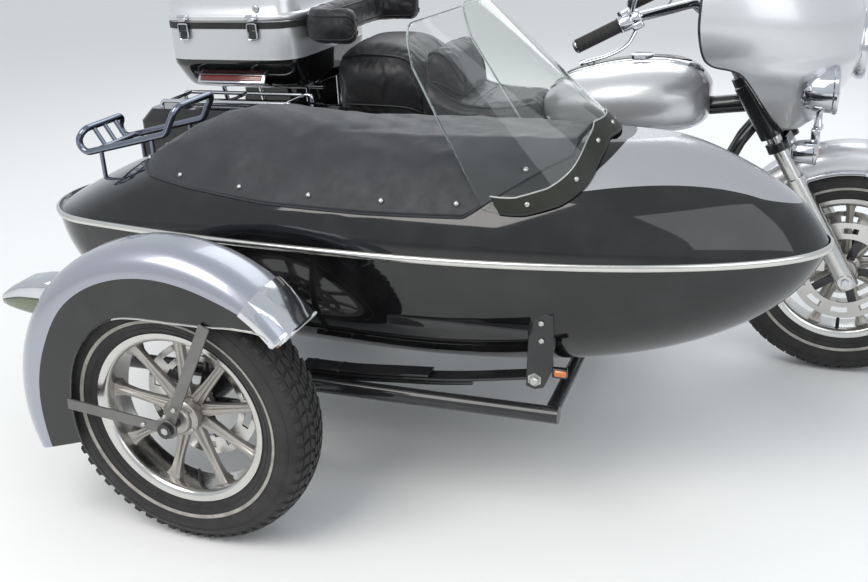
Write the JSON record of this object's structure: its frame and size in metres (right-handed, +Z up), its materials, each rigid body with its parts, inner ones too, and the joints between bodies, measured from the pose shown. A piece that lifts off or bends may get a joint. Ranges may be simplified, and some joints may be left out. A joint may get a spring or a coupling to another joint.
{
  "type": "motorcycle with sidecar",
  "caption": "Touring motorcycle in silver and black with a boat-shaped passenger sidecar on its right side, under a soft cover",
  "frame": {"origin": "middle of the outfit's footprint, on the ground", "axes": "+X forward, +Y to the rider's left, +Z up"},
  "size_m": [2.408, 1.8573, 1.49],
  "materials": {
    "tyre": "matt black rubber",
    "cast_wheel": "satin cast with a polished rim",
    "black_gloss": "gloss",
    "bright_trim": "polished",
    "black_vinyl": "soft coated cloth",
    "clear_sheet": "clear plastic sheet",
    "dark_strip": "dark strip",
    "chrome": "bright chrome",
    "silver_paint": "metallic silver gloss",
    "grey_steel": "dull grey",
    "black_frame": "satin black",
    "engine_silver": "satin cast",
    "red_lens": "red lens",
    "black_leather": "soft black",
    "trunk_black": "gloss black",
    "rubber_black": "matt black",
    "bright_fork": "polished",
    "matte_black": "matt black"
  },
  "bodies": {
    "machine": {"air_cleaner": "chrome", "backrest": "black_leather", "belt_trim": "bright_trim", "cylinders": "engine_silver", "engine_cases": "engine_silver", "engine_guard": "chrome", "exhaust": "chrome", "fender_stays": "grey_steel", "footboards": "rubber_black", "frame": "black_frame", "fuel_tank": "silver_paint", "leaf_springs": "black_frame", "luggage_rack": "chrome", "marker_lamps": "chrome", "rear_fender": "silver_paint", "saddlebag_left": "black_gloss", "saddlebag_right": "black_gloss", "seat": "black_leather", "shocks": "chrome", "side_covers": "silver_paint", "sidecar_deck": "black_gloss", "sidecar_fender": "silver_paint", "sidecar_frame": "black_frame", "sidecar_struts": "black_frame", "sidecar_tub": "black_gloss", "sidecar_windshield": "clear_sheet", "spring_brackets": "black_frame", "stand_bracket": "black_frame", "swingarm": "black_frame", "tail_lamps": "red_lens", "tank_console": "chrome", "tonneau_cover": "black_vinyl", "trunk_rack": "chrome", "trunk_tub": "trunk_black", "windshield_strip": "dark_strip"},
    "steering": {"fork": "bright_fork", "fork_clamps": "black_frame", "handlebar": "chrome", "grips": "rubber_black", "fairing": "silver_paint", "dash": "matte_black", "windscreen": "clear_sheet", "headlamp": "chrome", "front_lamps": "chrome", "mirrors": "chrome", "front_fender": "silver_paint"},
    "front_wheel_body": {"front_tyre": "tyre", "front_wheel": "cast_wheel"},
    "rear_wheel_body": {"rear_tyre": "tyre", "rear_wheel": "cast_wheel"},
    "sidecar_wheel_body": {"sidecar_tyre": "tyre", "sidecar_wheel": "cast_wheel"},
    "trunk_lid_body": {"trunk_lid": "silver_paint"},
    "saddlebag_lid_left_body": {"saddlebag_lid_left": "black_gloss", "lid_rails_left": "chrome"},
    "saddlebag_lid_right_body": {"saddlebag_lid_right": "black_gloss", "lid_rails_right": "chrome"},
    "side_stand_body": {"side_stand": "black_frame"}
  },
  "joints": [
    {"name": "steering", "type": "hinge", "parent": "machine", "child": "steering", "pos_m": [0.64581, 0.445, 0.8], "axis": [-0.4384, 0, 0.8988], "range_deg": [-30, 30]},
    {"name": "front_wheel_spin", "type": "hinge", "parent": "steering", "child": "front_wheel_body", "pos_m": [0.879, 0.445, 0.325], "axis": [0, 1, 0], "continuous": true},
    {"name": "rear_wheel_spin", "type": "hinge", "parent": "machine", "child": "rear_wheel_body", "pos_m": [-0.734, 0.445, 0.325], "axis": [0, 1, 0], "continuous": true},
    {"name": "sidecar_wheel_spin", "type": "hinge", "parent": "machine", "child": "sidecar_wheel_body", "pos_m": [-0.537, -0.825, 0.325], "axis": [0, 1, 0], "continuous": true},
    {"name": "trunk_lid_hinge", "type": "hinge", "parent": "machine", "child": "trunk_lid_body", "pos_m": [-0.926, 0.735, 1.058], "axis": [-1, 0, 0], "range_deg": [0, 95]},
    {"name": "saddlebag_lid_left_hinge", "type": "hinge", "parent": "machine", "child": "saddlebag_lid_left_body", "pos_m": [-0.785, 0.869, 0.739], "axis": [-1, 0, 0], "range_deg": [0, 75]},
    {"name": "saddlebag_lid_right_hinge", "type": "hinge", "parent": "machine", "child": "saddlebag_lid_right_body", "pos_m": [-0.785, 0.021, 0.739], "axis": [1, 0, 0], "range_deg": [0, 50]},
    {"name": "side_stand_hinge", "type": "hinge", "parent": "machine", "child": "side_stand_body", "pos_m": [-0.094, 0.585, 0.198], "axis": [0, -1, 0], "range_deg": [0, 70]}
  ]
}
